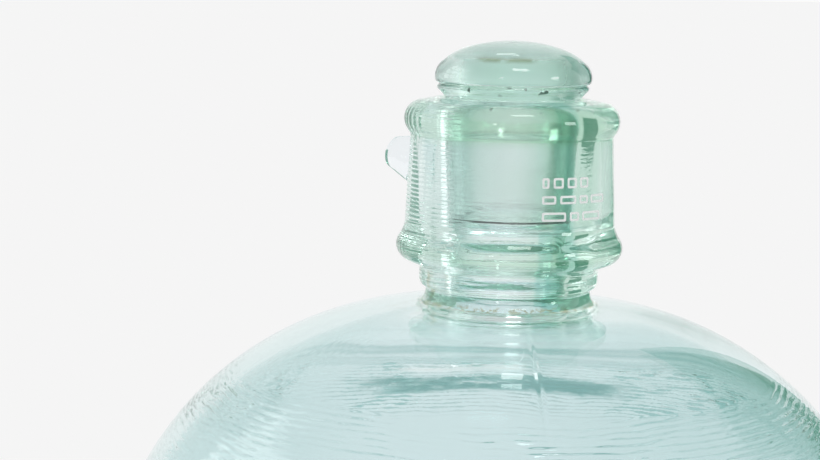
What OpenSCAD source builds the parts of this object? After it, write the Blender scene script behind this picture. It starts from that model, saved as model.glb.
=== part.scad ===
// Ten-litre laboratory carboy: a blown glass vessel with a heavy moulded 40/35 taper
// joint fused to its shoulder, and a hollow ground stopper that lifts and turns in it.
// Millimetres, +Z up. The origin is the centre of the foot ring, on the floor.

/* [Vessel] */
// Outside diameter of the body
body_d = 240; // [220:1:280]
// Height of the joint's lower end above the floor
seat_z = 305; // [260:1:420]
// Radius of the round shoulder, in section
shoulder_r = 98; // [85:0.5:100]
// Glass thickness of the side wall
wall_t = 4; // [3:0.5:6]
// Extra thickness at the top of the shoulder
crown_extra = 1.2; // [0:0.1:2]
// Glass thickness of the base
base_t = 6; // [5:0.5:8]
// Radius of the outside heel
heel_r = 22; // [15:1:30]
// Width of the flat ring that the vessel stands on
foot_w = 12; // [8:1:20]
// Height of the punt in the middle of the base
punt_h = 7; // [4:0.5:10]

/* [Taper joint] */
// Wide diameter of the ground taper
taper_d = 40; // [40:1:45]
// Length of the ground taper
taper_l = 35; // [30:1:40]
// Radial gap between socket and stopper, filled with grease
joint_gap = 0.1; // [0.08:0.01:0.2]
// Height of the socket above the joint's lower end
socket_h = 57.4; // [56:0.2:60]
// Radius of the upper bead
upper_bead_r = 32; // [31.5:0.1:33]
// Radius of the lower bead
lower_bead_r = 33.7; // [33:0.1:35]
// Radius of the neck's outside just under the upper bead
neck_top_r = 30.1; // [29:0.1:30.5]
// Radius of the neck's outside just above the lower bead
neck_foot_r = 31.1; // [30.8:0.1:31.4]
// Radius of the plain ring under the lower bead
collar_r = 26.7; // [26:0.1:27.5]
// Radius of the throat, where the vessel opens into the joint
throat_r = 16.5; // [14:0.5:17]

/* [Stopper] */
// Radius of the mushroom head
head_r = 23.2; // [22.5:0.1:25]
// Height of the dome on the head
dome_h = 10.6; // [8:0.2:12]
// Radius of the hollow at the top of the barrel
hollow_r = 15.6; // [13:0.2:16.4]

/* [Tie lug] */
// Direction of the lug, in degrees round from +X
lug_turn = 164; // [0:1:360]
// Height of the lug's axis above the joint's lower end
lug_z = 38.2; // [34:0.2:40]
// How far the lug stands out of the neck
lug_l = 9; // [8:0.2:14]
// Upward tilt of the lug
lug_tilt = 15; // [0:1:25]

/* [Enamel mark] */
// Thickness of the fired enamel
enamel_t = 0.12; // [0.08:0.01:0.3]
// Direction of the mark's left edge, in degrees round from +X
mark_turn = 287; // [0:1:360]

/* [Hidden] */
$fn = 96;
arc_steps = 20;

body_r = body_d / 2;
shoulder_x = body_r - shoulder_r;      // radius at which the shoulder's arc is centred
weld_z = -3.2;                         // underside of the fusion ring, from the joint's lower end
ring_top_z = 1.2;                      // where the fusion ring meets the socket
weld_r = 26.2;                         // outside radius of the fusion ring's foot
waist_r = 24.5;                        // narrowest outside radius of the fusion ring
ring_bore_r = throat_r + 0.7;          // inside radius where the ring meets the socket
shoulder_z = weld_z - sqrt(pow(shoulder_r, 2) - pow(weld_r - shoulder_x, 2));
taper_r = taper_d / 2;
taper_top = socket_h - 2.4;            // top of the ground taper, from the joint's lower end
taper_end = taper_top - taper_l;
barrel_end = taper_end - 3.5;          // flat end of the stopper
barrel_top = socket_h + 0.2;           // where the barrel meets the head
head_z = barrel_top + 6.1;             // widest level of the head
roof_z = head_z + 4.6;                 // roof of the hollow inside the head
barrel_top_r = taper_r + 0.2;          // outside radius of the barrel where it meets the head
film_t = joint_gap * 0.6;

// Points along an arc of radius r round [x, y], from angle a to angle b
function arc(x, y, r, a, b) =
    [for (i = [0 : arc_steps]) let (t = a + (b - a) * i / arc_steps) [x + r * cos(t), y + r * sin(t)]];

// The same with a different height than width
function oval(x, y, rx, ry, a, b) =
    [for (i = [0 : arc_steps]) let (t = a + (b - a) * i / arc_steps) [x + rx * cos(t), y + ry * sin(t)]];

// A low dome from [0, top] out to [reach, top - rise]
function crown(reach, top, rise) =
    let (r = (reach * reach + rise * rise) / (2 * rise))
    arc(0, top - r, r, 90, 90 - asin(reach / r));

// Radius of the ground taper at height z above the joint's lower end: it narrows 1 mm in 10 on diameter
function taper_at(z) = taper_r - (taper_top - z) / 20;

// Outside radius of the neck between the beads
neck_low_z = 20;
neck_high_z = 46.6;
function neck_at(z) =
    neck_foot_r + (neck_top_r - neck_foot_r) * (z - neck_low_z) / (neck_high_z - neck_low_z);

function reversed(list) = [for (i = [len(list) - 1 : -1 : 0]) list[i]];

// Sum of the first n values of a list
function sum_before(list, n) = n == 0 ? 0 : list[n - 1] + sum_before(list, n - 1);

// Blown vessel: punted base, straight wall and round shoulder, open at the throat
module glass_body() {
    foot_out = body_r - heel_r;
    foot_in = foot_out - foot_w;
    heel_in = heel_r - wall_t;
    inner_r = shoulder_r - wall_t;
    lip_r = 1.6;
    inner_z = shoulder_z - crown_extra;
    throat_foot = inner_z + sqrt(pow(inner_r, 2) - pow(throat_r + lip_r - shoulder_x, 2));
    top_turn = acos((weld_r - shoulder_x) / shoulder_r);
    inner_turn = acos((throat_r + lip_r - shoulder_x) / inner_r);
    outside = concat(
        crown(foot_in, punt_h, punt_h),
        [[foot_out, 0]],
        arc(foot_out, heel_r, heel_r, -90, 0),
        arc(shoulder_x, seat_z + shoulder_z, shoulder_r, 0, top_turn));
    inside = concat(
        crown(foot_in, punt_h + base_t, punt_h),
        arc(body_r - wall_t - heel_in, base_t + heel_in, heel_in, -90, 0),
        arc(shoulder_x, seat_z + inner_z, inner_r, 0, inner_turn),
        arc(throat_r + lip_r, seat_z + throat_foot + lip_r, lip_r, -90, -180),
        [[throat_r, seat_z + weld_z]]);
    color([0.78, 0.88, 0.88, 0.5])
    rotate_extrude($fn = 180) polygon(concat(outside, reversed(inside)));
}

// Flared bead of glass that joins the vessel to the moulded socket
module fusion_ring() {
    flare_r = weld_r - waist_r;
    flare_h = 3.4;
    color([0.66, 0.82, 0.72, 0.6])
    translate([0, 0, seat_z])
    rotate_extrude()
    polygon(concat(
        [[throat_r, weld_z]],
        oval(weld_r, weld_z + flare_h, flare_r, flare_h, 270, 180),
        [[waist_r, ring_top_z], [ring_bore_r, ring_top_z]]));
}

// Outline of the socket's outside, from its foot up to the mouth
collar_round = 2.4;
collar_top_z = 7.3;
lower_bead_z = 13.6;
lower_bead_round = 4.8;
upper_bead_z = socket_h - 6.4;
upper_bead_round = 5.7;
socket_outside = concat(
    arc(collar_r - collar_round, ring_top_z + collar_round, collar_round, -90, 0),
    [[collar_r, collar_top_z]],
    arc(lower_bead_r - lower_bead_round, lower_bead_z, lower_bead_round, -80, 46),
    [[neck_at(neck_low_z), neck_low_z], [neck_at(neck_high_z), neck_high_z]],
    arc(upper_bead_r - upper_bead_round, upper_bead_z, upper_bead_round, -42, 90));

// Heavy moulded socket with a bead at each end of the neck and a ground taper inside
module joint_socket() {
    wall_gap = joint_gap / 2;
    mouth_out = 23.2;                  // outside radius of the flat mouth
    mouth_in = taper_r + 1.6;          // its inside radius, slightly lower
    mouth_dip = 0.3;
    bevel = 0.9;                       // from the mouth into the bore
    relief_r = throat_r + 1.3;         // the bore's radius where it eases in below the taper
    relief_drop = 9;
    mouth = [
        [mouth_out, socket_h],
        [mouth_in, socket_h - mouth_dip],
        [mouth_in - bevel, socket_h - mouth_dip - bevel]];
    bore = [
        [taper_at(taper_top) + wall_gap, taper_top],
        [taper_at(taper_end) + wall_gap, taper_end],
        [relief_r, taper_end - relief_drop],
        [ring_bore_r, ring_top_z]];
    color([0.66, 0.82, 0.72, 0.6])
    translate([0, 0, seat_z])
    rotate_extrude() polygon(concat(socket_outside, mouth, bore));
}

// Rounded lug that a tie hooks over, fused to the neck
module tie_lug() {
    root = 28;                         // starts inside the neck wall, which then trims it
    tip = neck_at(lug_z) + lug_l - root;
    foot_r = 8.1;
    end_r = 5;
    end_h = 3.2;                       // height of the rounded end
    root_drop = 0.6;                   // the axis rises by this much before it leaves the wall
    color([0.85, 0.9, 0.93, 0.6])
    translate([0, 0, seat_z])
    difference() {
        rotate([0, 0, lug_turn])
        translate([root, 0, lug_z - root_drop])
        rotate([0, 90 - lug_tilt, 0])
        rotate_extrude()
        polygon(concat([[0, 0], [foot_r, 0]], oval(0, tip - end_h, end_r, end_h, 0, 90)));
        rotate_extrude()
        polygon(concat([[0, ring_top_z]], socket_outside, [[0, socket_h]]));
    }
}

// White enamel bars fired on the neck, where the joint's size is usually marked.
// Each row is its height, its bars' height, and each bar's width in degrees.
module size_mark() {
    rows = [[34.8, 3, [4, 6, 6, 6]], [30, 2.4, [8, 10, 6, 12]], [25.2, 2.6, [14, 6, 14]]];
    gap_turn = 2.4;
    color("white")
    translate([0, 0, seat_z])
    for (row = rows) {
        low = row[0] - row[1] / 2;
        high = row[0] + row[1] / 2;
        bars = row[2];
        for (i = [0 : len(bars) - 1])
            rotate([0, 0, mark_turn + sum_before(bars, i) + gap_turn * i])
            rotate_extrude(angle = bars[i])
            polygon([
                [neck_at(low), low],
                [neck_at(low) + enamel_t, low],
                [neck_at(high) + enamel_t, high],
                [neck_at(high), high]]);
    }
}

// Film of grease between the two ground tapers
module joint_grease() {
    end_margin = 2;                    // ground glass left bare at each end of the film
    low = taper_end + end_margin;
    high = taper_top - end_margin;
    half = film_t / 2;
    color([0.9, 0.92, 0.88, 0.4])
    translate([0, 0, seat_z])
    rotate_extrude()
    polygon([
        [taper_at(low) - half, low],
        [taper_at(low) + half, low],
        [taper_at(high) + half, high],
        [taper_at(high) - half, high]]);
}

// Hollow stopper barrel with the ground taper on its outside and a flat end
module stopper_barrel() {
    end_t = 3;
    end_round = 1.5;
    end_relief = 0.3;                  // the end is a little narrower than the taper
    hollow_narrowing = 1.6;            // how much narrower the hollow gets by the foot of the taper
    hollow_rise = 2;                   // how far above the taper's foot its wall ends
    floor_r = hollow_r - 4;            // flat floor of the hollow
    floor_round = 2.4;
    half = joint_gap / 2;
    end_r = taper_at(barrel_end) - half - end_relief;
    color([0.72, 0.85, 0.78, 0.6])
    translate([0, 0, seat_z])
    rotate_extrude()
    polygon(concat(
        [[0, barrel_end]],
        arc(end_r - end_round, barrel_end + end_round, end_round, -90, 0),
        [[taper_at(taper_end) - half, taper_end],
         [taper_at(taper_top) - half, taper_top],
         [barrel_top_r, barrel_top],
         [hollow_r, barrel_top],
         [hollow_r - hollow_narrowing, taper_end + hollow_rise]],
        arc(floor_r, barrel_end + end_t + floor_round, floor_round, 0, -90),
        [[0, barrel_end + end_t]]));
}

// Mushroom head with two moulded ridges, hollow up to its roof
module stopper_head() {
    // radius and height above the barrel at each turn of the ridges
    ridges = [[20.9, 0.9], [21.5, 1.5], [22.4, 2.3], [22.5, 3.3], [22.2, 3.8], [22.8, 4.4], [head_r, 5.3]];
    roof_rise = 1.2;
    roof_round = 1.5;
    roof_drop = 3.4;                   // how far below the roof the hollow's wall ends
    color([0.66, 0.82, 0.74, 0.6])
    translate([0, 0, seat_z])
    rotate_extrude()
    polygon(concat(
        [[hollow_r, barrel_top], [barrel_top_r, barrel_top]],
        [for (turn = ridges) [turn[0], barrel_top + turn[1]]],
        oval(0, head_z, head_r, dome_h, 0, 90),
        crown(hollow_r - roof_round, roof_z, roof_rise),
        [[hollow_r, roof_z - roof_drop]]));
}

glass_body();
fusion_ring();
joint_socket();
tie_lug();
size_mark();
joint_grease();
stopper_barrel();
stopper_head();
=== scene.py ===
"""Looks of the glass carboy: clear glass pieces with their moulding marks, in a pale soft-lit studio."""
import math

import bpy
import numpy as np
from mathutils import Matrix, Vector


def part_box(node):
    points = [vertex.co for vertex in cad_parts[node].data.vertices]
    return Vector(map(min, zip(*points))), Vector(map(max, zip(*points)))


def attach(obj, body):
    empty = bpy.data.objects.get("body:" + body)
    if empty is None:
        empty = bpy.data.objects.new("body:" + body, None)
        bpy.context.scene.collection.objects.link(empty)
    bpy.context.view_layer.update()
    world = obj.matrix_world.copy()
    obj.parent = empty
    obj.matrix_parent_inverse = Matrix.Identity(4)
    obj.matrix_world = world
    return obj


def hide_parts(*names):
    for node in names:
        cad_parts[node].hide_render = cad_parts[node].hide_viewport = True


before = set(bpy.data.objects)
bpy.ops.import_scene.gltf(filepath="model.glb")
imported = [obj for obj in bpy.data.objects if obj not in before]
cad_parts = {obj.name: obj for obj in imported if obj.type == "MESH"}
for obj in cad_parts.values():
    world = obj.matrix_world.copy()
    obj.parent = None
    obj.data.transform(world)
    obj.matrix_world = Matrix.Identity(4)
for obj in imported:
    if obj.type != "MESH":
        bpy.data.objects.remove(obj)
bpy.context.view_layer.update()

MM = 0.001
FULL_TURN = 2 * math.pi

# Heights and radii in millimetres, taken from the frame where it holds them
WELD_TALL = 3.2
BODY_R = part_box("glass_body")[1].x / MM
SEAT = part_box("fusion_ring")[0].z / MM + WELD_TALL      # lower end of the joint
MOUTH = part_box("joint_socket")[1].z / MM                # top face of the socket
WALL = 4.0
SHOULDER_R = 98.0
SHOULDER_CENTRE = BODY_R - SHOULDER_R     # from the axis to the centre of the shoulder's arc
CROWN_EXTRA = 1.2                         # extra wall at the crown
HEEL_R = 22.0
FOOT_W = 12.0
PUNT_H = 7.0
BASE_T = 6.0
WELD = SEAT - WELD_TALL
WELD_OVER = 1.4                           # how far the weld bead reaches over SEAT
WELD_R = 26.2
SHOULDER_Z = WELD - math.sqrt(SHOULDER_R ** 2 - (WELD_R - SHOULDER_CENTRE) ** 2)
THROAT_R = 16.5
TAPER_R = 20.0
TAPER_RUN = 20                            # height in which the taper's radius changes by 1
TAPER_TOP = MOUTH - 2.4
TAPER_END = TAPER_TOP - 35
JOINT_GAP = 0.1
NECK_LOW, NECK_HIGH = 20, 46.6            # ends of the straight neck, above SEAT
NECK_LOW_R, NECK_HIGH_R = 31.1, 30.1
LOWER_BEAD = 13.6                         # middle of the lower bead, above SEAT
UPPER_BEAD = 51                           # middle of the upper bead, above SEAT
HEAD_BASE = MOUTH + 0.2                   # where the stopper's head starts

# Directions in degrees round from +X
SEAM_TURN = -82.5         # the mould's parting line
NECK_SEAM_TURN = SEAM_TURN + 4
FLUTE_TURN = 198          # middle of the fluted part of the beads
FLUTE_HALF = 30
LUG_TURN = 164
MARK_TURN = 287.0         # left edge of the enamel mark
STAIN_TURN = 203          # where the collar is stained
GREEN_TURN = -35          # side on which the neck is greenest
REFLECTION_STREAK_TURN = -60         # painted dark reflection, a darker green streak down the neck
INNER_REFLECTION_STREAK_TURN = REFLECTION_STREAK_TURN + 20
RIGHT_SHADE_TURN, LEFT_SHADE_TURN = -15, 195          # the neck's sides, darkened with painted shade


# ---------------------------------------------------------------- outlines

def arc(x, y, r, start, end, step=0.5):
    """Points round [x, y] from angle start to end, in degrees, about step apart."""
    count = max(3, int(abs(math.radians(end - start)) * r / step) + 1)
    turns = np.radians(np.linspace(start, end, count))
    return [(x + r * math.cos(t), y + r * math.sin(t)) for t in turns]


def oval(x, y, rx, ry, start, end, step=0.5):
    """Points of an ellipse's arc."""
    count = max(3, int(abs(math.radians(end - start)) * max(rx, ry) / step) + 1)
    turns = np.radians(np.linspace(start, end, count))
    return [(x + rx * math.cos(t), y + ry * math.sin(t)) for t in turns]


def crown(reach, top, rise, step=2.0):
    """A low dome from the axis at height top out to reach, rise lower."""
    r = (reach * reach + rise * rise) / (2 * rise)
    return arc(0, top - r, r, 90, 90 - math.degrees(math.asin(reach / r)), step)


def spread(points, step):
    """The same line with points step apart."""
    points = np.array(points, float)
    lengths = np.r_[0, np.cumsum(np.hypot(*np.diff(points, axis=0).T))]
    keep = np.r_[True, np.diff(lengths) > 1e-9]
    points, lengths = points[keep], lengths[keep]
    at = np.linspace(0, lengths[-1], max(2, int(round(lengths[-1] / step)) + 1))
    return np.c_[np.interp(at, lengths, points[:, 0]), np.interp(at, lengths, points[:, 1])]


def fire_polish(points, step, radius):
    """Spreads a line's points and rounds its corners to about radius, with both ends kept."""
    line = spread(points, step)
    reach = max(1, int(round(1.5 * radius / step)))
    weights = np.hanning(2 * reach + 3)[1:-1]
    weights /= weights.sum()
    before = 2 * line[0] - line[reach:0:-1]
    after = 2 * line[-1] - line[-2:-reach - 2:-1]
    padded = np.vstack([before, line, after])
    smooth = np.stack([np.convolve(padded[:, axis], weights, "valid") for axis in (0, 1)], 1)
    smooth[0], smooth[-1] = line[0], line[-1]
    return smooth


def taper_at(z):
    """Radius of the ground taper at a height: 1 mm in 10 on diameter."""
    return TAPER_R - (TAPER_TOP - z) / TAPER_RUN


def neck_at(z):
    """Outside radius of the neck between its beads."""
    along = (z - SEAT - NECK_LOW) / (NECK_HIGH - NECK_LOW)
    return NECK_LOW_R + (NECK_HIGH_R - NECK_LOW_R) * along


# ---------------------------------------------------------------- meshes

def waves(turn, height, seed, lumps, around, tall):
    """Smooth irregular unevenness, mostly from -1 to 1: a sum of lumps waves, each with up to around lobes
    round the axis and up to tall waves to the millimetre along the height."""
    random = np.random.default_rng(seed)
    total = np.zeros(np.broadcast(turn, height).shape)
    for _ in range(lumps):
        lobes = random.integers(0, around + 1)
        rate = random.uniform(-tall, tall) * FULL_TURN
        total = total + np.cos(lobes * turn + rate * height + random.uniform(0, FULL_TURN))
    return total / math.sqrt(lumps) / 1.5


def away(turn, centre_degrees):
    """Signed angle from a direction, in radians."""
    return (turn - math.radians(centre_degrees) + math.pi) % FULL_TURN - math.pi


def column_turns(count, fine=(), fine_width=3.0, fine_step=0.35):
    """Angles of a lathe's columns, with more of them near the directions in fine."""
    turns = list(np.linspace(0, 360, count, endpoint=False))
    for centre in fine:
        turns = [t for t in turns if abs((t - centre + 180) % 360 - 180) > fine_width]
        turns += list((centre + np.arange(-fine_width, fine_width + 0.01, fine_step)) % 360)
    return np.radians(np.array(sorted(turns)))


def lathe(name, line, turns, reshape=None, closed=False, marks=None):
    """Turned solid. line runs round its section in millimetres: from axis to axis, or closed.
    reshape takes the radii, heights and angles of all points and returns new radii and heights.
    marks holds values by row, which the material reads by their name."""
    line = np.array(line, float)
    rows, columns = len(line), len(turns)
    steps = np.r_[0, np.cumsum(np.hypot(*np.diff(line, axis=0).T))]
    radius = np.repeat(line[:, :1], columns, 1)
    height = np.repeat(line[:, 1:], columns, 1)
    if reshape is not None:
        radius, height = reshape(radius, height, np.repeat(turns[None], rows, 0))
    corners = np.stack([radius * np.cos(turns), radius * np.sin(turns), height], 2) * MM
    ends = [] if closed else [0, rows - 1]
    numbers = np.full((rows, columns), -1)
    places, row_of = [], []
    for row in range(rows):
        if row in ends:
            numbers[row] = len(places)
            places.append((0, 0, height[row].mean() * MM))
            row_of.append(row)
        else:
            numbers[row] = len(places) + np.arange(columns)
            places.extend(corners[row])
            row_of.extend([row] * columns)
    faces = []
    for row in range(rows if closed else rows - 1):
        upper = (row + 1) % rows
        for column in range(columns):
            beside = (column + 1) % columns
            quad = [
                numbers[row, column], numbers[row, beside],
                numbers[upper, beside], numbers[upper, column]]
            faces.append([int(n) for i, n in enumerate(quad) if n not in quad[:i]])
    mesh = bpy.data.meshes.new(name)
    mesh.from_pydata([tuple(p) for p in places], [], faces)
    mesh.polygons.foreach_set("use_smooth", [True] * len(faces))
    for key, by_row in {"along": steps, **(marks or {})}.items():
        attribute = mesh.attributes.new(key, "FLOAT", "POINT")
        attribute.data.foreach_set("value", np.ravel(by_row)[row_of].astype(np.float32))
    piece = bpy.data.objects.new(name, mesh)
    bpy.context.scene.collection.objects.link(piece)
    face_outwards(piece)
    return piece


def face_outwards(piece):
    """Turns the faces so that the solid's volume is positive."""
    mesh = piece.data
    mesh.calc_loop_triangles()
    triangles = np.zeros(len(mesh.loop_triangles) * 3, np.int32)
    mesh.loop_triangles.foreach_get("vertices", triangles)
    places = np.zeros(len(mesh.vertices) * 3)
    mesh.vertices.foreach_get("co", places)
    a, b, c = places.reshape(-1, 3)[triangles.reshape(-1, 3)].transpose(1, 0, 2)
    if np.einsum("ij,ij->i", a, np.cross(b, c)).sum() < 0:
        mesh.flip_normals()


def settle(piece, body, slot, *nodes):
    """Gives a piece its body and hides the CAD nodes it stands for. The slot argument is not used."""
    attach(piece, body)
    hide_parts(*nodes)
    return piece


# ---------------------------------------------------------------- glass pieces

def vessel_line():
    """Section of body, weld bead and socket as one fused wall, with the number of points on its outside,
    and where the ground taper starts and ends in it."""
    foot_out = BODY_R - HEEL_R
    foot_in = foot_out - FOOT_W
    taper_top_r = taper_at(TAPER_TOP) + JOINT_GAP / 2
    taper_end_r = taper_at(TAPER_END) + JOINT_GAP / 2
    fine_from = 30        # degrees up the shoulder from which its rows are close
    top_turn = math.degrees(math.acos((WELD_R - SHOULDER_CENTRE) / SHOULDER_R))
    low = np.vstack([
        crown(foot_in, PUNT_H, PUNT_H, 5),
        spread([(foot_in, 0), (foot_out, 0)], 3)[1:-1],
        arc(foot_out, HEEL_R, HEEL_R, -90, 0, 2.6),
        spread([(BODY_R, HEEL_R), (BODY_R, SHOULDER_Z)], 9)[1:-1],
        arc(SHOULDER_CENTRE, SHOULDER_Z, SHOULDER_R, 0, fine_from, 3.4)[:-1]])
    shoulder = arc(SHOULDER_CENTRE, SHOULDER_Z, SHOULDER_R, fine_from, top_turn, 1.2)[:-1]
    neck = fire_polish([
        # weld bead and the collar over it
        *oval(WELD_R, SEAT + 0.2, 1.7, 3.4, 270, 180, 0.25),
        (24.5, SEAT + 1.2),
        *arc(24.3, SEAT + 3.6, 2.4, -90, 0, 0.4),
        (26.7, SEAT + 7.3),
        # lower bead, straight neck and upper bead
        *arc(28.9, SEAT + LOWER_BEAD, 4.8, -80, 46, 0.4),
        (neck_at(SEAT + NECK_LOW), SEAT + NECK_LOW),
        (neck_at(SEAT + NECK_HIGH), SEAT + NECK_HIGH),
        *arc(26.3, MOUTH - 6.4, 5.7, -42, 90, 0.4),
        # mouth, rounded into the taper
        (23.2, MOUTH), (21.6, MOUTH - 0.3), (20.7, MOUTH - 1.2),
        (taper_top_r, TAPER_TOP)], 0.65, 0.45)
    taper = spread([(taper_top_r, TAPER_TOP), (taper_end_r, TAPER_END)], 1.8)[1:]
    inner_r = SHOULDER_R - WALL
    inner_z = SHOULDER_Z - CROWN_EXTRA
    lip = 1.6
    reach = THROAT_R + lip - SHOULDER_CENTRE
    throat_foot = inner_z + math.sqrt(inner_r ** 2 - reach ** 2)
    inner_turn = math.degrees(math.acos(reach / inner_r))
    lip_blend = 3         # degrees of the shoulder's inside that are smoothed with the throat
    throat = fire_polish([
        tuple(taper[-1]), (THROAT_R + 1.3, TAPER_END - 9), (THROAT_R, WELD),
        *arc(THROAT_R + lip, throat_foot + lip, lip, 180, 270, 0.3),
        *arc(SHOULDER_CENTRE, inner_z, inner_r, inner_turn, inner_turn - lip_blend, 0.9)[1:]], 0.9, 0.7)[1:]
    heel_in = HEEL_R - WALL
    rest = np.vstack([
        arc(SHOULDER_CENTRE, inner_z, inner_r, inner_turn - lip_blend, fine_from, 2.0)[1:],
        arc(SHOULDER_CENTRE, inner_z, inner_r, fine_from, 0, 4.0)[1:],
        spread([(BODY_R - WALL, inner_z), (BODY_R - WALL, BASE_T + heel_in)], 10)[1:-1],
        arc(BODY_R - WALL - heel_in, BASE_T + heel_in, heel_in, 0, -90, 3),
        crown(foot_in, PUNT_H + BASE_T, PUNT_H, 5)[::-1]])
    outside = len(low) + len(shoulder) + len(neck)
    return np.vstack([low, shoulder, neck, taper, throat, rest]), outside, outside - 1, outside + len(taper)


def body_marks(radius, height, turn, outer):
    """How far the blown wall moves out from the shoulder's centre: slow waves in its thickness, ripples
    and rings round the shoulder, and the two parting lines."""
    ripples_from, ripples_to, ripples_fade = SEAT - 60, SEAT - 28, 8
    swell_tall, ripple_tall, ripple_rate = 0.1, 0.045, 1.5
    rise = np.clip((height - HEEL_R) / 40, 0, 1) * np.clip((WELD - 1 - height) / 6, 0, 1)
    ribbed = (rise * np.clip((height - ripples_from) / ripples_fade, 0, 1)
              * np.clip((ripples_to - height) / ripples_fade, 0, 1))
    swell = swell_tall * waves(turn, height, seed=3, lumps=9, around=5, tall=0.012) * rise
    wander = waves(turn, height, seed=5, lumps=9, around=9, tall=0.03)
    ripple = np.sin(height * ripple_rate + 2.4 * wander)
    strength = 0.6 + 0.4 * waves(turn, height, seed=6, lumps=6, around=5, tall=0.02)
    swell += ripple_tall * ripple * ribbed * strength
    seam_tall, seam_half = 0.06, 0.6
    for seam in (SEAM_TURN, SEAM_TURN + 180):
        swell += seam_tall * np.exp(-(away(turn, seam) * np.maximum(radius, 1) / seam_half) ** 2) * rise

    slow_tall, quick_tall, ring_tall = 0.22, 0.04, 0.3
    inner = slow_tall * waves(turn, height, seed=8, lumps=9, around=4, tall=0.01) * rise
    inner = inner + quick_tall * waves(turn, height, seed=9, lumps=9, around=12, tall=0.05) * rise
    rings = ring_tall * np.exp(-((radius - 90) / 3.2) ** 2) + ring_tall * np.exp(-((radius - 102) / 1.9) ** 2)
    inner += rings * ribbed * (0.9 + 0.3 * waves(turn, height, seed=10, lumps=9, around=14, tall=0.02))
    return np.where(outer, swell, inner) * (height < WELD + 0.05)


def socket_marks(height, turn, outer):
    """How far the socket's outside moves out: unevenness, the beads' flutes and two parting lines."""
    level = height - SEAT
    start = 1.2
    fade = np.clip((level - start) / 1.5, 0, 1) * np.clip((MOUTH - height) / 2.5, 0, 1)
    uneven = (0.09 * waves(turn, level, seed=31, lumps=8, around=4, tall=0.03)
              + 0.025 * waves(turn, level, seed=32, lumps=9, around=14, tall=0.05))
    bead = np.exp(-((level - UPPER_BEAD) / 4.6) ** 2) + 0.4 * np.exp(-((level - LOWER_BEAD) / 4) ** 2)
    fluted = np.clip(1 - (away(turn, FLUTE_TURN) / math.radians(FLUTE_HALF)) ** 2, 0, 1)
    flute_tall, flutes_round = 0.11, 62
    flutes = np.sin(turn * flutes_round + 2.6 * waves(turn, level, seed=33, lumps=8, around=8, tall=0.03))
    uneven = uneven + flute_tall * flutes * bead * fluted
    seam_tall, seam_half, seam_r = 0.07, 0.35, 31
    for seam in (NECK_SEAM_TURN, NECK_SEAM_TURN + 180):
        uneven = uneven + seam_tall * np.exp(-(away(turn, seam) * seam_r / seam_half) ** 2)
    return np.where(outer & (level > start), uneven * fade, 0)


def weld_marks(height, turn, outer):
    """How far the weld bead's rough outside moves out, most of all at its foot."""
    level = height - SEAT
    foot = np.exp(-((level + 2.6) / 1.2) ** 2)
    rough = (0.16 * waves(turn, level, seed=21, lumps=12, around=22, tall=0.03)
             + 0.09 * waves(turn, level, seed=22, lumps=10, around=40, tall=0.05))
    on_weld = outer & (level > -3.3) & (level <= WELD_OVER)
    return np.where(on_weld, rough * (0.3 + foot) + 0.3 * foot, 0)


def make_vessel():
    """Body, weld bead and socket, fused into one wall as they are in the glass, with their marks."""
    line, outside, ground_from, ground_to = vessel_line()
    rows = np.arange(len(line))[:, None]
    outer = rows < outside
    ground = ((rows >= ground_from) & (rows < ground_to)).astype(float)
    weld = (outer & (line[:, 1:] > WELD - 0.05) & (line[:, 1:] < SEAT + WELD_OVER)).astype(float)

    def reshape(radius, height, turn):
        step_r, step_z = radius - SHOULDER_CENTRE, height - SHOULDER_Z
        length = np.maximum(np.hypot(step_r, step_z), 1e-6)
        out_r = np.where(height > SHOULDER_Z, step_r / length, 1)
        out_z = np.where(height > SHOULDER_Z, step_z / length, 0)
        body = body_marks(radius, height, turn, outer)
        socket = socket_marks(height, turn, outer)
        return radius + body * out_r + socket + weld_marks(height, turn, outer), height + body * out_z

    turns = column_turns(156, (SEAM_TURN % 360, (SEAM_TURN + 180) % 360), 1.6, 0.25)
    fluted_turns = np.radians(np.arange(FLUTE_TURN - FLUTE_HALF, FLUTE_TURN + FLUTE_HALF, 1.5) % 360)
    turns = np.unique(np.round(np.r_[turns, fluted_turns], 4))
    marks = {"ground": ground, "inner": 1.0 - outer, "weld": weld}
    piece = lathe("vessel_glass", line, turns, reshape, marks=marks)
    return settle(piece, "vessel", "body_glass", "glass_body", "fusion_ring", "joint_socket")


def make_lug():
    """Rounded lug, fused to the neck. Its root follows the neck's surface, just inside it."""
    turn = math.radians(LUG_TURN)
    root = 28             # distance of the lug's inner end from the axis
    upward = 15           # degrees that the lug leans up from level
    sunk = 0.25
    tip = neck_at(SEAT + 38.2) + 9 - root
    line = fire_polish([(0, 1.5), (7.53, 1.5), *oval(0, tip - 3.2, 5, 3.2, 0, 90, 0.3)], 0.3, 0.9)
    line[:, 0] = np.maximum(line[:, 0], 0)
    piece = lathe("lug_glass", line, column_turns(96))
    direction = Vector((math.cos(turn), math.sin(turn), 0))
    start = direction * root * MM + Vector((0, 0, (SEAT + 37.6) * MM))
    lean = Matrix.Rotation(turn, 4, "Z") @ Matrix.Rotation(math.radians(90 - upward), 4, "Y")
    piece.data.transform(Matrix.Translation(start) @ lean)
    for vertex in piece.data.vertices:
        reach = math.hypot(vertex.co.x, vertex.co.y)
        wall = (neck_at(vertex.co.z / MM) - sunk) * MM
        if reach < wall:
            vertex.co.x *= wall / reach
            vertex.co.y *= wall / reach
    return settle(piece, "vessel", "lug_glass", "tie_lug")


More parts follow.
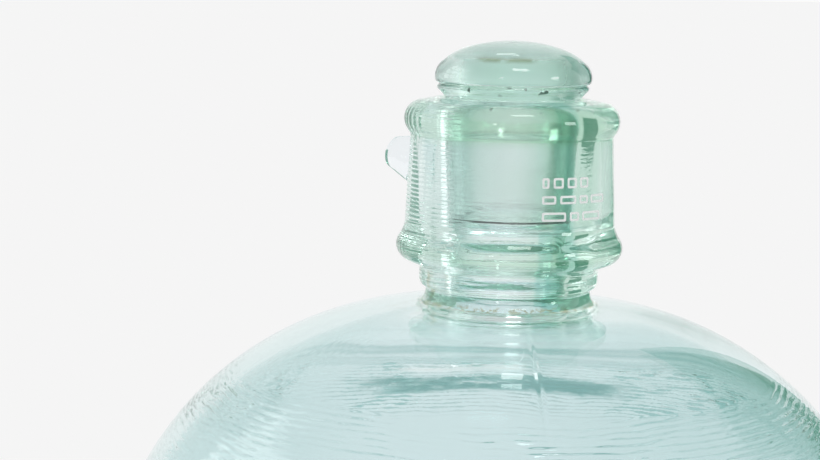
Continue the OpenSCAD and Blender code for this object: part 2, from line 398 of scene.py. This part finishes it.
def make_stopper():
    """Hollow stopper in one piece: ground barrel, moulded ridges and a slightly uneven mushroom dome."""
    half = JOINT_GAP / 2
    end = TAPER_END - 3.5
    end_r = taper_at(end) - half - 0.3
    end_round = 1.5
    middle = HEAD_BASE + 6.1      # widest level of the dome
    dome_r, dome_rise = 23.2, 10.6
    roof = middle + 4.6           # top of the hollow
    hollow = 15.6                 # radius of the hollow
    low = spread([(0, end), (end_r - end_round, end)], 2.0)
    barrel = np.vstack([
        low,
        arc(end_r - end_round, end + end_round, end_round, -90, 0, 0.3)[1:],
        spread([(taper_at(TAPER_END) - half, TAPER_END), (taper_at(TAPER_TOP) - half, TAPER_TOP)], 1.8)])
    ridges = [                    # radius, and height above the head's base
        (20.9, 0.9), (21.5, 1.5), (22.4, 2.3), (22.5, 3.2), (21.8, 3.8), (22.8, 4.3), (dome_r, 5.3)]
    head = fire_polish([
        (taper_at(TAPER_TOP) - half, TAPER_TOP), (TAPER_R + 0.1, HEAD_BASE),
        *[(r, HEAD_BASE + up) for r, up in ridges],
        *oval(0, middle, dome_r, dome_rise, 0, 90, 0.4)], 0.26, 0.16)[1:]
    inside = fire_polish([
        *crown(hollow - 1.5, roof, 1.2, 1), (hollow, roof - 3.4), (hollow, HEAD_BASE),
        (hollow - 1.6, TAPER_END + 2),
        *arc(hollow - 4, end + 5.4, 2.4, 0, -90, 0.4), (0, end + 3)], 1.1, 1.5)
    line = np.vstack([barrel, head, inside])
    rows = np.arange(len(line))[:, None]
    outer = (rows >= len(barrel)) & (rows < len(barrel) + len(head))
    polished_rows = 6
    ground = ((rows < len(barrel)) & (rows > polished_rows)).astype(float)
    inner = (rows >= len(barrel) + len(head)).astype(float)

    def reshape(radius, height, turn):
        fade = np.clip((height - HEAD_BASE - 1) / 2, 0, 1) * np.clip(radius / 8, 0, 1)
        uneven = (0.09 * waves(turn, height, seed=41, lumps=8, around=5, tall=0.05)
                  + 0.03 * waves(turn, height, seed=42, lumps=8, around=18, tall=0.1))
        sunk = 0.25 * np.exp(-((height - middle - 5.2) / 1.0) ** 2)
        return radius + np.where(outer, (uneven - sunk) * fade, 0), height

    piece = lathe("stopper_glass", line, column_turns(220), reshape, marks={"ground": ground, "inner": inner})
    return settle(piece, "stopper", "stopper_glass", "stopper_barrel", "stopper_head")


def make_grease():
    """Film of grease in the joint."""
    low, high = TAPER_END + 2, TAPER_TOP - 2
    half = 0.03
    line = [
        (taper_at(low) - half, low), (taper_at(low) + half, low),
        (taper_at(high) + half, high), (taper_at(high) - half, high)]
    line = spread(line + [line[0]], 1.0)[:-1]
    piece = lathe("grease_film", line, column_turns(160), closed=True)
    return settle(piece, "grease_film", "grease", "joint_grease")


def make_enamel():
    """Fired enamel on the neck: rows of bars with rounded corners, each drawn as a thin open frame."""
    # each row's level above SEAT, height, and bar widths in degrees
    rows = [(34.8, 3.0, (4, 6, 6, 6)), (30.0, 2.4, (8, 10, 6, 12)), (25.2, 2.6, (14, 6, 14))]
    gap_turn = 2.4
    corner = 0.5
    depth = 0.1
    stroke = 0.62
    places, faces = [], []
    for level, tall, bars in rows:
        turn = MARK_TURN
        for bar in bars:
            wide = math.radians(bar) * neck_at(SEAT + level)
            outline = []
            for x, z, start in ((wide, tall, 0), (0, tall, 90), (0, 0, 180), (wide, 0, 270)):
                inset_x = x - corner if x else corner
                inset_z = z - corner if z else corner
                outline += arc(inset_x, inset_z, corner, start, start + 90, 0.15)
            add_frame(places, faces, outline, stroke, turn, level - tall / 2, depth)
            turn += bar + gap_turn
    mesh = bpy.data.meshes.new("enamel_bars")
    mesh.from_pydata(places, [], faces)
    piece = bpy.data.objects.new("enamel_bars", mesh)
    bpy.context.scene.collection.objects.link(piece)
    return settle(piece, "vessel", "enamel", "size_mark")


def add_frame(places, faces, outline, stroke, turn, low, depth):
    """Adds a thin flat frame, bent round the neck, whose outline is in millimetres from its lower left
    corner. Its strokes are about as wide as stroke."""
    clear = 0.12          # keeps the frame off the neck's uneven surface
    first = len(places)
    count = len(outline)
    wide, tall = max(p[0] for p in outline), max(p[1] for p in outline)
    narrower, lower = (wide - 2 * stroke) / wide, (tall - 2 * stroke) / tall
    inset = [(stroke + x * narrower, stroke + z * lower) for x, z in outline]
    for lift in (0.02, depth):
        for x, z in [*outline, *inset]:
            level = SEAT + low + z
            angle = math.radians(turn) + x / neck_at(level)
            reach = neck_at(level) + clear + lift
            places.append((reach * math.cos(angle) * MM, reach * math.sin(angle) * MM, level * MM))
    under, upper = first, first + 2 * count
    for i in range(count):
        j = (i + 1) % count
        faces.append((under + j, under + i, under + count + i, under + count + j))
        faces.append((upper + i, upper + j, upper + count + j, upper + count + i))
        faces.append((under + i, under + j, upper + j, upper + i))
        faces.append((under + count + j, under + count + i, upper + count + i, upper + count + j))


# ---------------------------------------------------------------- materials

# Heights of the shoulder's painted shade and painted highlight, in millimetres
SHADE_ARCH = SEAT - 23.3
FAINT_SHADE_ARCH = SEAT - 28.5
HIGHLIGHT_BAND = SEAT - 32.8
SHADE_BAND_TOP, SHADE_BAND_FOOT = SEAT - 36.2, SEAT - 44.0

GLASS_IOR = 1.474
LUG_IOR = 1.2
GREASE_IOR = 1.45
VESSEL_ABSORBS, VESSEL_DENSITY = (0.0, 0.5, 0.32), 1.2
STOPPER_ABSORBS, STOPPER_DENSITY = (0.0, 0.45, 0.37), 4.0
LUG_ABSORBS, LUG_DENSITY = (0.4, 0.65, 0.75), 5.0
WHITE = (1.0, 1.0, 1.0)
DIRT = (0.01, 0.03, 0.02)
BODY_TINT = (0.83, 0.925, 0.933)
# painted shade at the body's left and right sides
BODY_SIDE_SHADE_TINT = (0.72, 0.855, 0.855)
# painted shade in the shoulder's arches, dark band and ripple troughs
BODY_SHADE_TINT = (0.19, 0.43, 0.41)
NECK_TINTS = (0.93, 0.965, 0.98), (0.878, 0.945, 0.932)
BEAD_TINT = (0.84, 0.93, 0.85)            # these four multiply the neck's tint
# painted shade at the neck's right and left sides
RIGHT_SHADE_TINT = (0.63, 0.82, 0.72)
LEFT_SHADE_TINT = (0.76, 0.87, 0.84)
# painted dark reflection down the neck
REFLECTION_STREAK_TINT = (0.44, 0.77, 0.74)
BROWN_STAIN = (0.34, 0.30, 0.13)
HEAD_TINTS = (0.79, 0.912, 0.89), (0.73, 0.90, 0.83)
BARREL_TINT = (0.95, 0.98, 0.97)
GROOVE_TINT = (0.46, 0.64, 0.5)
ROOF_LEVEL_TINT = (0.2, 0.23, 0.08)
LUG_TINT = (0.95, 0.975, 0.99)
GREASE_TINT = (0.97, 0.985, 0.97)
ENAMEL_TINTS = (0.72, 0.8, 0.78), (0.93, 0.95, 0.94)


class Nodes:
    """A material's node tree, with short calls to add and join nodes."""

    def __init__(self, name):
        self.material = bpy.data.materials.new(name)
        self.material.use_nodes = True
        self.tree = self.material.node_tree
        self.shader = self.tree.nodes["Principled BSDF"]
        self.output = self.tree.nodes["Material Output"]

    def add(self, kind, **settings):
        """A new node with these properties set."""
        node = self.tree.nodes.new(kind)
        for key, value in settings.items():
            setattr(node, key, value)
        return node

    def join(self, source, target):
        self.tree.links.new(source, target)

    def plain(self, **inputs):
        """Sets inputs of the shader, where _ stands for a space in the input's name."""
        for key, value in inputs.items():
            self.shader.inputs[key.replace("_", " ")].default_value = value

    def value(self, operation, a, b=0.0):
        """The result of one sum, where each side is a number or a socket."""
        node = self.add("ShaderNodeMath", operation=operation)
        for socket, given in zip(node.inputs, (a, b)):
            if isinstance(given, (int, float)):
                socket.default_value = given
            else:
                self.join(given, socket)
        return node.outputs[0]

    def product(self, first, *others):
        """All of these multiplied together."""
        for other in others:
            first = self.value("MULTIPLY", first, other)
        return first

    def plus(self, first, *others):
        """All of these added together."""
        for other in others:
            first = self.value("ADD", first, other)
        return first

    def most(self, first, *others):
        """The greatest of these."""
        for other in others:
            first = self.value("MAXIMUM", first, other)
        return first

    def ramp(self, source, *stops):
        """Colours between stops, each a place from 0 to 1 and a colour."""
        node = self.add("ShaderNodeValToRGB")
        elements = node.color_ramp.elements
        while len(elements) < len(stops):
            elements.new(0.5)
        for element, (place, colour) in zip(elements, stops):
            element.position = place
            element.color = (*colour, 1)
        self.join(source, node.inputs[0])
        return node.outputs[0]

    def noise(self, vector, scale, detail=2.0, roughness=0.5):
        """Cloudy noise between 0 and 1."""
        node = self.add("ShaderNodeTexNoise")
        node.inputs["Scale"].default_value = scale
        node.inputs["Detail"].default_value = detail
        node.inputs["Roughness"].default_value = roughness
        self.join(vector, node.inputs["Vector"])
        return node.outputs["Fac"]

    def span(self, source, low, high):
        """0 to 1 as source goes from low to high, smoothly."""
        node = self.add("ShaderNodeMapRange", interpolation_type="SMOOTHSTEP")
        self.join(source, node.inputs["Value"])
        ends = (low, high, 0.0, 1.0) if low < high else (high, low, 1.0, 0.0)
        for key, end in zip(("From Min", "From Max", "To Min", "To Max"), ends):
            node.inputs[key].default_value = end
        return node.outputs["Result"]

    def mix(self, factor, first, second):
        """From the first colour to the second, where each is a colour or a socket."""
        node = self.add("ShaderNodeMix", data_type="RGBA")
        self.join(factor, node.inputs[0])
        for socket, given in ((node.inputs[6], first), (node.inputs[7], second)):
            if isinstance(given, tuple):
                socket.default_value = (*given, 1)
            else:
                self.join(given, socket)
        return node.outputs[2]

    def facing(self, degrees, low, high):
        """1 on the side of the axis in this direction, falling to 0 away from it."""
        flat = self.add("ShaderNodeVectorMath", operation="MULTIPLY")
        flat.inputs[1].default_value = (1, 1, 0)
        self.join(self.place(), flat.inputs[0])
        unit = self.add("ShaderNodeVectorMath", operation="NORMALIZE")
        self.join(flat.outputs[0], unit.inputs[0])
        along = self.add("ShaderNodeVectorMath", operation="DOT_PRODUCT")
        turn = math.radians(degrees)
        along.inputs[1].default_value = (math.cos(turn), math.sin(turn), 0)
        self.join(unit.outputs[0], along.inputs[0])
        return self.span(along.outputs["Value"], low, high)

    def place(self):
        """Position on the piece, in metres."""
        return self.add("ShaderNodeTexCoord").outputs["Object"]

    def height(self):
        """Height on the piece, in metres."""
        axes = self.add("ShaderNodeSeparateXYZ")
        self.join(self.place(), axes.inputs[0])
        return axes.outputs[2]

    def mark(self, name):
        """A value that the mesh holds at its points."""
        return self.add("ShaderNodeAttribute", attribute_name=name).outputs["Fac"]

    def stretched(self, x, y, z):
        """Position scaled by axis."""
        node = self.add("ShaderNodeMapping")
        node.inputs["Scale"].default_value = (x, y, z)
        self.join(self.place(), node.inputs["Vector"])
        return node.outputs[0]

    def bump(self, height, distance, under=None):
        """A surface roughened by this height, over another bump if there is one."""
        node = self.add("ShaderNodeBump")
        node.inputs["Strength"].default_value = 1.0
        node.inputs["Distance"].default_value = distance
        self.join(height, node.inputs["Height"])
        if under is not None:
            self.join(under, node.inputs["Normal"])
        return node.outputs[0]

    def tinted(self, colour, by):
        """A colour socket multiplied by a plain colour."""
        node = self.add("ShaderNodeMix", data_type="RGBA", blend_type="MULTIPLY")
        node.inputs[0].default_value = 1.0
        self.join(colour, node.inputs[6])
        node.inputs[7].default_value = (*by, 1)
        return node.outputs[2]

    def line(self, height, level, half):
        """1 at a level in millimetres, falling to 0 at half above and below it."""
        return self.product(
            self.span(height, (level - half) * MM, level * MM),
            self.span(height, (level + half) * MM, level * MM))

    def ground_wear(self, ground):
        """Roughness of the ground taper, worn smoother in patches."""
        wear = self.span(self.noise(self.stretched(1, 1, 0.5), 60, 4, 0.6), 0.35, 0.7)
        return self.product(ground, self.plus(self.product(wear, 0.14), 0.04))

    def specks(self):
        """1 on a few tiny specks."""
        return self.span(self.noise(self.place(), 420, 1), 0.69, 0.71)

    def turndown(self, height):
        """1 where the shoulder turns down into the body, and 0 elsewhere."""
        return self.product(
            self.span(height, (SEAT - 57) * MM, (SEAT - 48) * MM),
            self.span(height, (SEAT - 25) * MM, (SEAT - 30) * MM))

    def ripples(self):
        """Washboard ripples from -1 to 1, round the body and in patches."""
        wander = self.noise(self.stretched(1, 1, 2.5), 30, 3, 0.55)
        wave = self.value("SINE", self.plus(self.product(self.mark("along"), 3.0), self.product(wander, 22)))
        patches = self.span(self.noise(self.place(), 24, 2), 0.35, 0.62)
        return self.product(wave, self.plus(self.product(patches, 0.8), 0.2))

    def shoulder_tint_and_shade(self, height):
        """The thin glass's colour, with painted shade at its sides, in two arches, a dark band and the ripple
        troughs, and a painted highlight in a pale band.
        """
        far_side = self.facing(90, -0.3, 0.6)
        wander = self.product(self.noise(self.place(), 14, 3), 0.006)
        moved = self.plus(height, self.value("SUBTRACT", wander, 0.003))
        # Painted shade: two arches, a dark band and the ripple troughs on the far shoulder are darkened with
        # the dark tint, standing in for dark refractions.
        shade_arch = self.product(self.line(moved, SHADE_ARCH, 2.0), far_side, 0.9)
        fainter_shade_arch = self.product(self.line(moved, FAINT_SHADE_ARCH, 1.8), far_side, 0.5)
        band = self.product(
            self.span(moved, SHADE_BAND_FOOT * MM, (SHADE_BAND_FOOT + 1.4) * MM),
            self.span(moved, SHADE_BAND_TOP * MM, (SHADE_BAND_TOP - 1.6) * MM),
            self.span(self.noise(self.stretched(1, 1, 3.5), 62, 4, 0.65), 0.33, 0.52),
            self.facing(92, 0.84, 0.93))
        ripple_shade = self.product(
            self.span(self.ripples(), 0.0, 0.9), self.turndown(height), self.facing(90, -0.2, 0.25),
            self.value("SUBTRACT", 1.0, self.mark("inner")))
        # Painted shade: the body's tint darkens towards its left and right sides.
        sides = self.most(self.facing(15, 0.1, 0.9), self.facing(170, 0.5, 0.95))
        tint = self.mix(sides, BODY_TINT, BODY_SIDE_SHADE_TINT)
        tint = self.mix(self.most(shade_arch, fainter_shade_arch, ripple_shade, band), tint, BODY_SHADE_TINT)
        # Painted highlight: a thin pale band on the far shoulder, mixed towards clear white.
        pale = self.product(self.line(moved, HIGHLIGHT_BAND, 2.2), self.facing(99.5, 0.955, 0.985))
        return self.mix(pale, tint, WHITE)

    def neck_tint_and_shade(self, height):
        """The thick glass's colour, deeper in the beads, with painted shade at the sides and a painted dark
        reflection down it.
        """
        cloud = self.plus(self.product(self.noise(self.place(), 38, 2), 0.7),
                          self.product(self.facing(GREEN_TURN, 0.3, 1.0), 0.4))
        tint = self.ramp(cloud, (0.3, NECK_TINTS[0]), (0.7, NECK_TINTS[1]))
        beads = self.most(self.span(height, (SEAT + 43) * MM, (SEAT + 47) * MM),
                          self.line(height, SEAT + LOWER_BEAD, 5.5))
        ground = self.mark("ground")
        # Painted reflection: a dark green streak down the neck, on the taper inside and on the outside.
        inside = self.product(ground, self.facing(INNER_REFLECTION_STREAK_TURN, 0.99, 0.9985))
        outside = self.product(self.value("SUBTRACT", 1.0, ground), self.facing(REFLECTION_STREAK_TURN, 0.99, 0.998))
        streak = self.product(self.plus(inside, outside),
                              self.plus(self.product(self.noise(self.place(), 120, 2), 0.6), 0.55))
        # Painted shade darkens the neck's right and left sides.
        for amount, colour in (
                (beads, BEAD_TINT), (self.facing(RIGHT_SHADE_TURN, 0.35, 0.9), RIGHT_SHADE_TINT),
                (self.facing(LEFT_SHADE_TURN, 0.35, 0.9), LEFT_SHADE_TINT), (streak, REFLECTION_STREAK_TINT)):
            tint = self.mix(amount, tint, self.tinted(tint, colour))
        return tint

    def stains(self, height):
        """How brown the glass is: dots along the weld's lower edge, and a smear at the collar's left."""
        edge = self.product(self.mark("weld"), self.span(height, (SEAT - 1.4) * MM, (SEAT - 2.4) * MM),
                            self.span(self.noise(self.place(), 520, 3, 0.7), 0.48, 0.56))
        smear = self.product(
            self.facing(STAIN_TURN, 0.955, 0.985),
            self.span(height, (SEAT - 5) * MM, (SEAT - 2) * MM),
            self.span(height, (SEAT + 9) * MM, (SEAT + 5) * MM),
            self.span(self.noise(self.stretched(1, 1, 0.35), 330, 3, 0.6), 0.5, 0.66))
        return self.product(self.most(edge, smear), 0.85)

    def absorb(self, colour, density):
        """Light lost inside the glass."""
        node = self.add("ShaderNodeVolumeAbsorption")
        node.inputs["Color"].default_value = (*colour, 1)
        node.inputs["Density"].default_value = density
        self.join(node.outputs[0], self.output.inputs["Volume"])


def glass(name, absorb_colour, density, tint=WHITE, roughness=0.0, ior=GLASS_IOR):
    """Clear glass with a plain tint and absorption, ready for its own surface marks."""
    nodes = Nodes(name)
    nodes.plain(Base_Color=(*tint, 1), Roughness=roughness, IOR=ior, Transmission_Weight=1.0)
    nodes.absorb(absorb_colour, density)
    return nodes


def vessel_material():
    """Bluish thin glass below the weld and greener thick glass above it, with ripples, turning marks and
    stains, and painted shade, a painted highlight and a painted dark reflection in its tint."""
    nodes = glass("fused_glass", VESSEL_ABSORBS, VESSEL_DENSITY)
    height = nodes.height()
    above = nodes.span(height, (SEAT - 3.6) * MM, (SEAT - 2.6) * MM)
    tint = nodes.mix(above, nodes.shoulder_tint_and_shade(height), nodes.neck_tint_and_shade(height))
    tint = nodes.mix(nodes.stains(height), tint, BROWN_STAIN)
    rim = nodes.product(nodes.span(height, (MOUTH - 4) * MM, (MOUTH - 1) * MM), nodes.specks())
    nodes.join(nodes.mix(rim, tint, DIRT), nodes.shader.inputs["Base Color"])
    nodes.join(nodes.ground_wear(nodes.mark("ground")), nodes.shader.inputs["Roughness"])

    shoulder = nodes.product(nodes.ripples(), nodes.turndown(height), 2.0)
    wander = nodes.noise(nodes.stretched(1, 1, 5), 30, 2, 0.5)
    marks_rate = 4800     # radians per metre of height
    turning = nodes.value("SINE", nodes.plus(nodes.product(height, marks_rate), nodes.product(wander, 7)))
    turning = nodes.product(turning, above,
                            nodes.plus(nodes.product(nodes.facing(FLUTE_TURN, 0.5, 0.95), 1.6), 0.06))
    coarse = nodes.bump(nodes.plus(shoulder, turning), 0.00002)
    pits = nodes.product(nodes.noise(nodes.stretched(1, 1, 3), 260, 3, 0.6),
                         nodes.plus(nodes.product(above, 0.85), 0.15))
    nodes.join(nodes.bump(pits, 0.000015, coarse), nodes.shader.inputs["Normal"])
    return nodes.material


def stopper_material():
    """Green head, darker green in two of its grooves, over a paler barrel with a ground outside."""
    nodes = glass("stopper_glass", STOPPER_ABSORBS, STOPPER_DENSITY)
    height = nodes.height()
    head = nodes.span(height, (HEAD_BASE - 1) * MM, (HEAD_BASE + 0.5) * MM)
    head_tint = nodes.ramp(nodes.noise(nodes.place(), 45, 3), (0.3, HEAD_TINTS[0]), (0.7, HEAD_TINTS[1]))
    tint = nodes.mix(head, BARREL_TINT, head_tint)
    grooves = nodes.product(
        nodes.most(nodes.line(height, HEAD_BASE + 3.75, 0.3), nodes.line(height, HEAD_BASE + 1.3, 0.35)),
        nodes.span(nodes.noise(nodes.stretched(1, 1, 0.3), 150, 3, 0.6), 0.3, 0.6))
    tint = nodes.mix(grooves, tint, GROOVE_TINT)
    # Olive band on the dome's front, at the height of the hollow's roof.
    roof_level_band = nodes.product(
        nodes.line(height, MOUTH + 11.6, 1.3), nodes.facing(-97, 0.86, 0.95),
        nodes.span(nodes.noise(nodes.stretched(1, 1, 1.5), 200, 3, 0.7), 0.34, 0.5), 0.85)
    tint = nodes.mix(roof_level_band, tint, ROOF_LEVEL_TINT)
    specks = nodes.product(nodes.line(height, HEAD_BASE + 2.5, 2.4), nodes.specks())
    nodes.join(nodes.mix(specks, tint, DIRT), nodes.shader.inputs["Base Color"])

    roof = nodes.product(nodes.mark("inner"), nodes.span(height, MOUTH * MM, (MOUTH + 6) * MM), 0.4)
    rough = nodes.plus(nodes.ground_wear(nodes.mark("ground")), roof, 0.01)
    nodes.join(rough, nodes.shader.inputs["Roughness"])
    dimples = nodes.noise(nodes.stretched(1, 1, 4), 170, 3, 0.6)
    nodes.join(nodes.bump(dimples, 0.00006), nodes.shader.inputs["Normal"])
    return nodes.material


def lug_material():
    """Pale glass that bends light less than the neck's, so that the lug shows the backdrop and not the
    neck's green side."""
    nodes = glass("lug_glass", LUG_ABSORBS, LUG_DENSITY, LUG_TINT, 0.03, LUG_IOR)
    nodes.join(nodes.bump(nodes.noise(nodes.place(), 220, 2), 0.0001), nodes.shader.inputs["Normal"])
    return nodes.material


def grease_material():
    """Clear smeared grease."""
    nodes = Nodes("grease")
    nodes.plain(Base_Color=(*GREASE_TINT, 1), IOR=GREASE_IOR, Transmission_Weight=1.0)
    smear = nodes.noise(nodes.stretched(1, 1, 3), 60, 3)
    nodes.join(nodes.plus(nodes.product(smear, 0.2), 0.05), nodes.shader.inputs["Roughness"])
    return nodes.material


def enamel_material():
    """White enamel, a little worn."""
    nodes = Nodes("enamel")
    wear = nodes.noise(nodes.place(), 900, 4, 0.7)
    colour = nodes.ramp(wear, (0.3, ENAMEL_TINTS[0]), (0.5, ENAMEL_TINTS[1]))
    nodes.join(colour, nodes.shader.inputs["Base Color"])
    nodes.join(nodes.plus(nodes.product(wear, 0.3), 0.2), nodes.shader.inputs["Roughness"])
    nodes.join(nodes.bump(wear, 0.00002), nodes.shader.inputs["Normal"])
    return nodes.material


# ---------------------------------------------------------------- studio

FLOOR_GLOW = 0.53
BOUNCES = 400         # light passes many walls, and is lost too early with fewer


def make_floor():
    """Wide pale floor, partly self-lit so that it stays even."""
    size = 2000.0
    mesh = bpy.data.meshes.new("floor")
    corners = [(-size, -size, 0), (size, -size, 0), (size, size, 0), (-size, size, 0)]
    mesh.from_pydata(corners, [], [(0, 1, 2, 3)])
    floor = bpy.data.objects.new("floor", mesh)
    floor.location.z = -0.0002
    bpy.context.scene.collection.objects.link(floor)
    nodes = Nodes("pale_floor")
    nodes.plain(Base_Color=(0.5, 0.5, 0.5, 1), Roughness=0.9, Specular_IOR_Level=0.0,
                Emission_Color=(1, 1, 1, 1), Emission_Strength=FLOOR_GLOW)
    floor.data.materials.append(nodes.material)


def make_world():
    """Soft white surroundings: a bright backdrop, and a darker room on the camera's side and overhead."""
    world = bpy.data.worlds.new("studio")
    world.use_nodes = True
    bpy.context.scene.world = world
    tree = world.node_tree
    background = tree.nodes["Background"]
    coordinates = tree.nodes.new("ShaderNodeTexCoord")

    def ramp(vector, stops):
        along = tree.nodes.new("ShaderNodeVectorMath")
        along.operation = "DOT_PRODUCT"
        along.inputs[1].default_value = vector
        tree.links.new(coordinates.outputs["Generated"], along.inputs[0])
        lift = tree.nodes.new("ShaderNodeMath")
        lift.operation = "MULTIPLY_ADD"
        lift.inputs[1].default_value = 0.5
        lift.inputs[2].default_value = 0.5
        tree.links.new(along.outputs["Value"], lift.inputs[0])
        node = tree.nodes.new("ShaderNodeValToRGB")
        tree.links.new(lift.outputs[0], node.inputs[0])
        elements = node.color_ramp.elements
        while len(elements) < len(stops):
            elements.new(0.5)
        for element, (place, level) in zip(elements, stops):
            element.position = place
            element.color = (level, level, level, 1)
        return node.outputs[0]

    product = tree.nodes.new("ShaderNodeMix")
    product.data_type = "RGBA"
    product.blend_type = "MULTIPLY"
    product.inputs[0].default_value = 1.0
    # back to front: the backdrop is brightest
    tree.links.new(ramp((0, 1, 0), [(0.0, 0.74), (0.35, 0.8), (0.62, 0.92), (1.0, 0.96)]), product.inputs[6])
    # floor level to overhead
    tree.links.new(ramp((0, 0, 1), [(0.0, 1.0), (0.72, 1.0), (0.86, 0.86), (1.0, 0.8)]), product.inputs[7])
    tree.links.new(product.outputs[2], background.inputs["Color"])


def flag(name, azimuth, elevation, distance, width, height, colour):
    """A plain card that only shows in gloss and through glass."""
    mesh = bpy.data.meshes.new(name)
    x, y = width / 2, height / 2
    mesh.from_pydata([(-x, -y, 0), (x, -y, 0), (x, y, 0), (-x, y, 0)], [], [(0, 1, 2, 3)])
    card = bpy.data.objects.new(name, mesh)
    place_round(card, azimuth, elevation, distance)
    nodes = Nodes(name)
    nodes.plain(Base_Color=(0, 0, 0, 1), Specular_IOR_Level=0.0,
                Emission_Color=(*colour, 1), Emission_Strength=1.0)
    card.data.materials.append(nodes.material)
    card.visible_camera = False
    card.visible_diffuse = False
    card.visible_shadow = False
    bpy.context.scene.collection.objects.link(card)


def place_round(holder, azimuth, elevation, distance):
    """Puts a light or card round the joint, facing it. Azimuth 0 is the camera's side, and 90 its right."""
    a, e = math.radians(azimuth), math.radians(elevation)
    out = Vector((math.sin(a) * math.cos(e), -math.cos(a) * math.cos(e), math.sin(e)))
    holder.location = Vector((0, 0, SEAT * MM)) + out * distance
    holder.rotation_mode = "QUATERNION"
    holder.rotation_quaternion = out.to_track_quat("Z", "Y")


def lamp(name, azimuth, elevation, distance, width, height, radiance):
    """A softbox that shows in gloss and through glass."""
    light = bpy.data.lights.new(name, "AREA")
    light.shape = "RECTANGLE"
    light.size = width
    light.size_y = height
    light.energy = radiance * width * height * math.pi
    holder = bpy.data.objects.new(name, light)
    place_round(holder, azimuth, elevation, distance)
    holder.visible_camera = False
    holder.visible_diffuse = False
    bpy.context.scene.collection.objects.link(holder)


def make_lamps():
    """Softboxes round the joint, a window of nine panes on the left, and a dark green card behind. Each
    line gives the azimuth, elevation, distance, width and height, then the radiance or colour."""
    lamp("key", 15, 59, 1.6, 0.5, 0.24, 9.0)
    lamp("right_panel", 64, 11, 1.6, 0.34, 0.4, 9.0)
    lamp("left_spot", -17, 6, 1.6, 0.12, 0.2, 9.0)
    for column in range(3):
        for row in range(3):
            lamp(f"window_{column}_{row}", -84 - 16 * column, 4 + 15 * row, 2.0, 0.42, 0.4, 1.2)
    lamp("top_strip", -173.5, 58, 2.0, 0.34, 0.12, 5.0)
    lamp("top_spot", 177, 66, 2.0, 0.12, 0.12, 5.0)
    flag("dark_flag", 138, 14, 1.3, 0.9, 1.2, (0.16, 0.36, 0.28))


def make_camera():
    """The photograph's viewpoint: just above the shoulder, looking slightly down, with a slight roll."""
    camera = bpy.data.cameras.new("camera")
    camera.lens = 93.0
    camera.sensor_width = 36.0
    camera.clip_start = 0.01
    camera.clip_end = 5000
    holder = bpy.data.objects.new("camera", camera)
    bpy.context.scene.collection.objects.link(holder)
    bpy.context.scene.camera = holder
    distance, above_joint = 0.627, 0.0875
    turn = Matrix.Rotation(math.radians(2.70), 4, "Z")
    tip = Matrix.Rotation(math.radians(90 - 6.38), 4, "X")
    roll = Matrix.Rotation(math.radians(1.2), 4, "Z")
    place = Matrix.Translation((0, -distance, SEAT * MM + above_joint))
    holder.matrix_world = place @ turn @ tip @ roll


def set_quality():
    """Enough bounces for light to get through the nested glass walls."""
    scene = bpy.context.scene
    scene.view_settings.view_transform = "Standard"
    scene.cycles.max_bounces = BOUNCES
    scene.cycles.transmission_bounces = BOUNCES
    scene.cycles.glossy_bounces = BOUNCES
    scene.cycles.diffuse_bounces = 3
    scene.cycles.transparent_max_bounces = 16
    scene.cycles.use_denoising = True
    scene.cycles.blur_glossy = 0.3


make_camera()
set_quality()
make_world()
make_floor()
make_lamps()

paint = {
    "vessel": vessel_material(),
    "lug": lug_material(),
    "stopper": stopper_material(),
    "grease": grease_material(),
    "enamel": enamel_material()}
for make, finish in (
        (make_vessel, "vessel"), (make_lug, "lug"), (make_stopper, "stopper"),
        (make_grease, "grease"), (make_enamel, "enamel")):
    make().data.materials.append(paint[finish])
